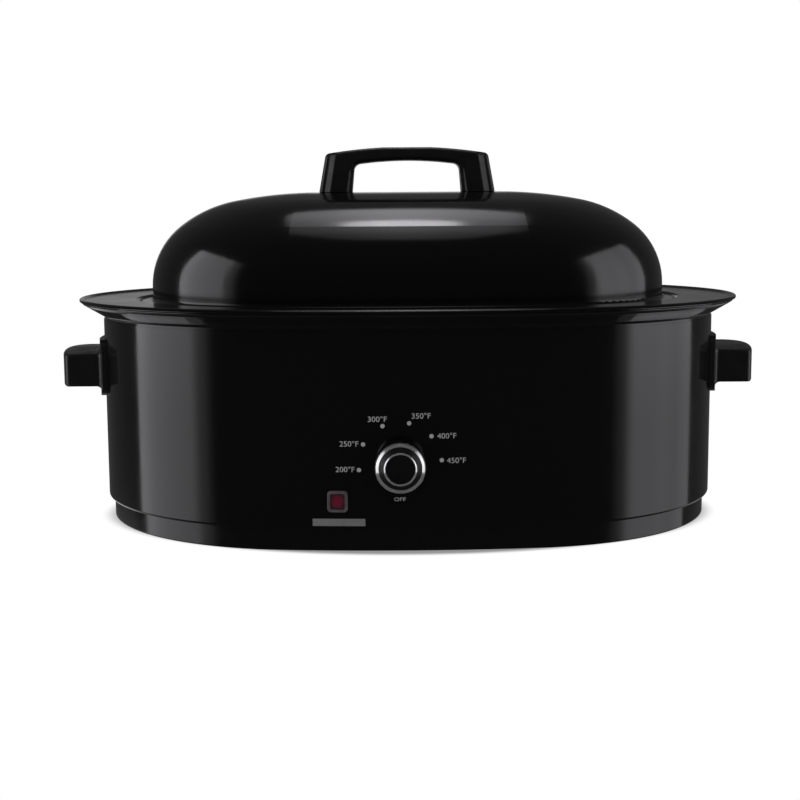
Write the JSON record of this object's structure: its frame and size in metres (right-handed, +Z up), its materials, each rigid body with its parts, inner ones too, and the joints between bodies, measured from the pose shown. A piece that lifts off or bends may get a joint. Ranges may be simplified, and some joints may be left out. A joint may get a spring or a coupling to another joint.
{
  "type": "electric roaster oven",
  "caption": "Oval countertop roaster oven with a lift-off domed lid, lift-out cookwell and rack, side handles, a front heat dial and a red heating lamp.",
  "frame": {"origin": "on the table under the feet, midway between the two side handles and midway between the front and back of the rim", "axes": "+Z up; +X along the length towards the right-hand handle as the dial is faced; -Y is the front, with the dial and lamp"},
  "size_m": [0.5718, 0.3976, 0.302],
  "materials": {
    "black_enamelled_wrapper": "gloss black enamel paint on steel sheet",
    "collar_enamel": "gloss black enamel on steel sheet",
    "cookwell_enamel": "satin-gloss black porcelain enamel on steel sheet",
    "lid_enamel": "gloss black enamel on steel sheet",
    "band_plastic": "gloss black moulded plastic",
    "handle_plastic": "satin black phenolic",
    "knob_plastic": "satin black phenolic",
    "bright_ring": "polished chrome",
    "galvanised_steel": "zinc-plated steel sheet",
    "plain_steel": "plated steel",
    "rack_wire": "bright plated steel wire",
    "foot_rubber": "matt black rubber",
    "mineral_wool": "matt mineral wool",
    "mica": "matt mica sheet",
    "resistance_ribbon": "dull resistance alloy",
    "thermostat_case": "matt ceramic and plated steel",
    "frame_plastic": "gloss black plastic",
    "red_lens": "clear red plastic",
    "bulb_glass": "clear glass",
    "wire_sleeve": "white silicone sleeve"
  },
  "bodies": {
    "oven": {"base_band": "band_plastic", "base_screws": "plain_steel", "bottom_plate": "galvanised_steel", "cord_gland": "frame_plastic", "foot_front_left": "foot_rubber", "foot_front_right": "foot_rubber", "foot_rear_left": "foot_rubber", "foot_rear_right": "foot_rubber", "heater_band": "mica", "heater_clips": "galvanised_steel", "heating_ribbons": "resistance_ribbon", "insulation_pad": "mineral_wool", "insulation_wrap": "mineral_wool", "lamp_bezel": "frame_plastic", "lamp_bulb": "bulb_glass", "lamp_holder": "frame_plastic", "lamp_lens": "red_lens", "liner_posts": "plain_steel", "oven_liner": "collar_enamel", "side_handle_left": "handle_plastic", "side_handle_right": "handle_plastic", "side_handle_screws": "plain_steel", "terminal_block": "thermostat_case", "thermostat_body": "thermostat_case", "thermostat_bracket": "galvanised_steel", "thermostat_screws": "plain_steel", "wire_harness": "wire_sleeve", "wrapper_front": "black_enamelled_wrapper", "wrapper_rear": "black_enamelled_wrapper"},
    "knob": {"knob_body": "knob_plastic", "knob_outer_ring": "bright_ring", "knob_inner_ring": "bright_ring", "knob_cap": "knob_plastic", "thermostat_shaft": "plain_steel"},
    "cookwell": {"cookwell": "cookwell_enamel"},
    "rack": {"rack_frame": "rack_wire", "rack_wires": "rack_wire", "rack_handles": "rack_wire"},
    "lid": {"lid_dome": "lid_enamel", "lid_handle": "handle_plastic", "lid_handle_washers": "plain_steel", "lid_handle_screws": "plain_steel"}
  },
  "joints": [
    {"name": "knob_turn", "type": "hinge", "parent": "oven", "child": "knob", "pos_m": [-0.0083, -0.177, 0.0688], "axis": [0, 1, 0], "range_deg": [0, 265.6]},
    {"name": "cookwell_lift", "type": "slide", "parent": "oven", "child": "cookwell", "axis": [0, 0, 1], "range_m": [0, 0.2]},
    {"name": "rack_lift", "type": "slide", "parent": "cookwell", "child": "rack", "axis": [0, 0, 1], "range_m": [0, 0.17]},
    {"name": "lid_lift", "type": "slide", "parent": "rack", "child": "lid", "axis": [0, 0, 1], "range_m": [0, 0.12]}
  ]
}
